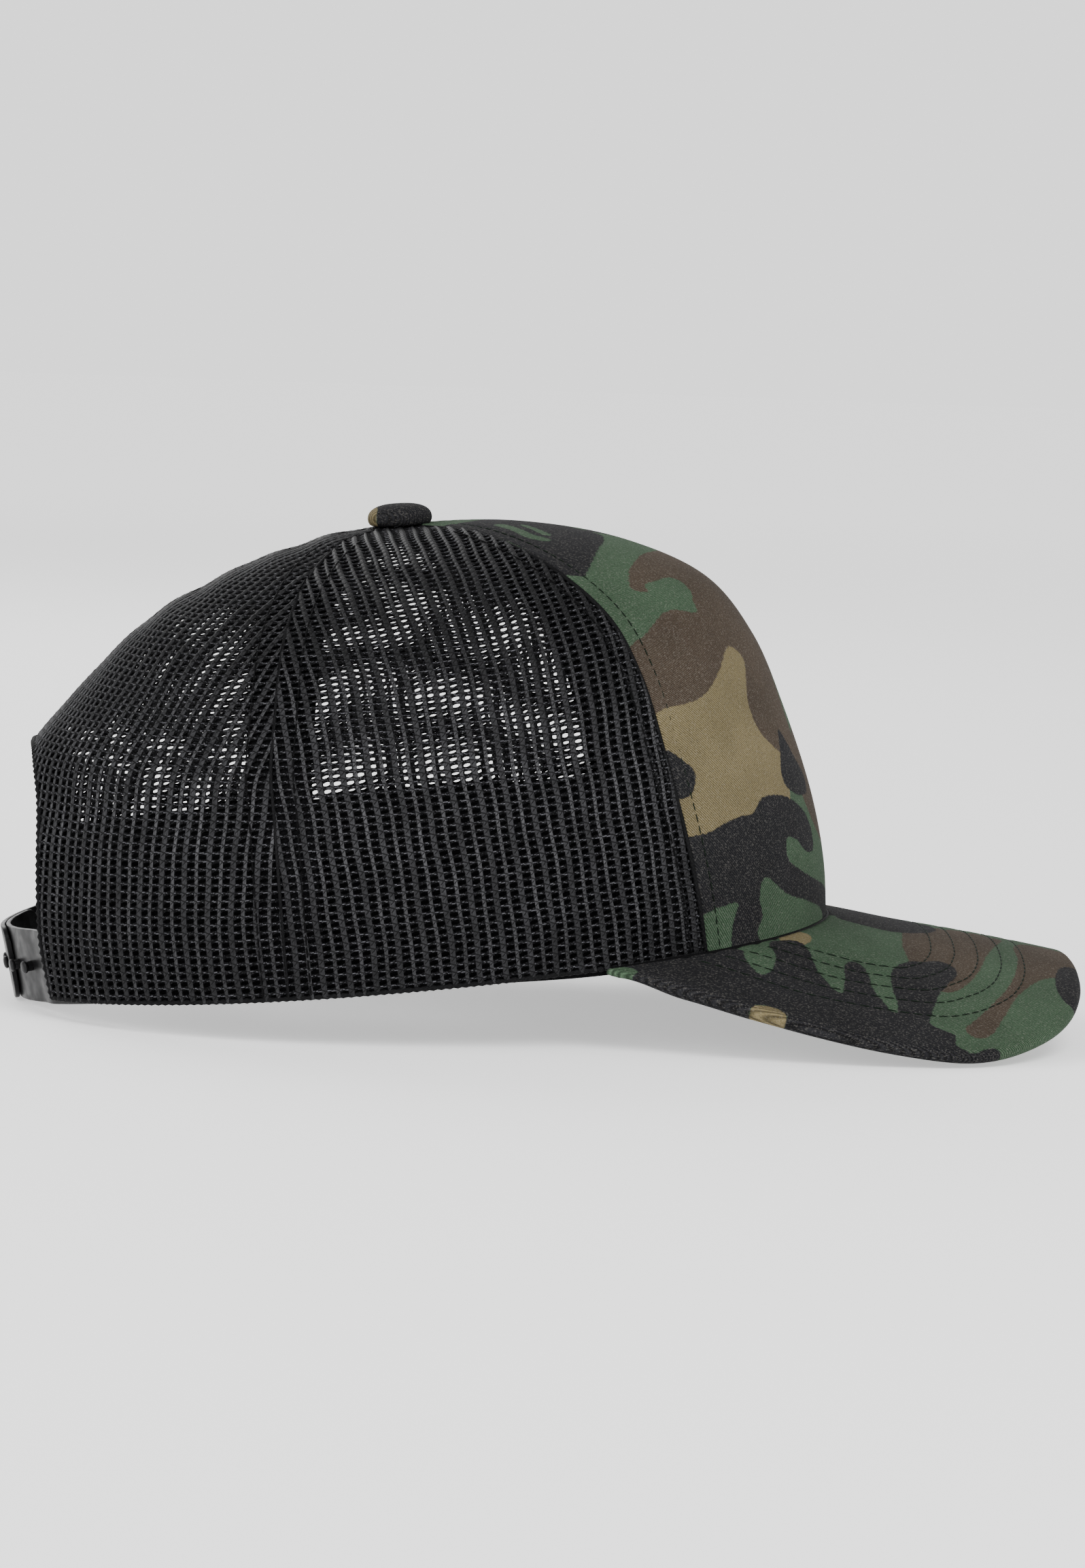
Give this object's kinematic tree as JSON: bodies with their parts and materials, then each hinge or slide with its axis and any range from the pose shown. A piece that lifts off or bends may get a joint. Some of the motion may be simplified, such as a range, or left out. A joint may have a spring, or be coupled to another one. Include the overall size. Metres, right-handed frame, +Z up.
{
  "type": "trucker cap",
  "caption": "Mesh-backed trucker cap: camouflage twill front panel, open-knit side and rear panels, curved visor, covered button and adjustable snap strap.",
  "frame": {"origin": "on the table, under the middle of the cap's outline, with the cap standing on its strap and the visor's side edges", "axes": "+X forwards along the visor, +Y to the wearer's left, +Z up through the button"},
  "size_m": [0.2766, 0.175, 0.1297],
  "materials": {
    "camo_twill": "washed cotton twill, camouflage print",
    "mesh_fabric": "open polyester knit",
    "lining": "matt buckram lining",
    "tape_cloth": "woven seam tape",
    "sweat_cloth": "soft cotton twill",
    "foam": "cloth-faced foam",
    "board_plastic": "moulded polyethylene board",
    "strap_plastic": "satin moulded plastic",
    "steel": "plated pressing"
  },
  "bodies": {
    "cap": {"front_panel": "camo_twill", "front_backing": "lining", "forehead_padding": "foam", "sweatband": "sweat_cloth", "rear_seam_tape": "tape_cloth", "rear_opening_binding": "mesh_fabric", "side_mesh_right": "mesh_fabric", "side_mesh_left": "mesh_fabric", "rear_mesh_right": "mesh_fabric", "rear_mesh_left": "mesh_fabric", "front_seam_tape_right": "tape_cloth", "front_seam_tape_left": "tape_cloth", "side_seam_tape_right": "tape_cloth", "side_seam_tape_left": "tape_cloth", "hem_binding_right": "tape_cloth", "hem_binding_left": "tape_cloth", "strap_anchor_right": "strap_plastic", "strap_anchor_left": "strap_plastic", "visor_top_cover": "camo_twill", "visor_board": "board_plastic", "visor_bottom_cover": "camo_twill", "button_cover": "camo_twill", "button_shell": "steel", "button_rivet": "steel", "button_washer": "steel"},
    "hole_strap": {"snap_strap_holes": "strap_plastic"},
    "peg_strap": {"snap_strap_pegs": "strap_plastic"}
  },
  "joints": [
    {"name": "hole_strap_swing", "type": "hinge", "parent": "cap", "child": "hole_strap", "pos_m": [-0.12451, 0.03346, 0.01157], "axis": [0.2187, 0, -0.9758], "range_deg": [0, 70], "stiffness_Nm_per_rad": 0.02},
    {"name": "peg_strap_swing", "type": "hinge", "parent": "cap", "child": "peg_strap", "pos_m": [-0.12451, -0.03346, 0.01157], "axis": [0.2187, 0, -0.9758], "range_deg": [0, 55], "stiffness_Nm_per_rad": 0.02}
  ]
}
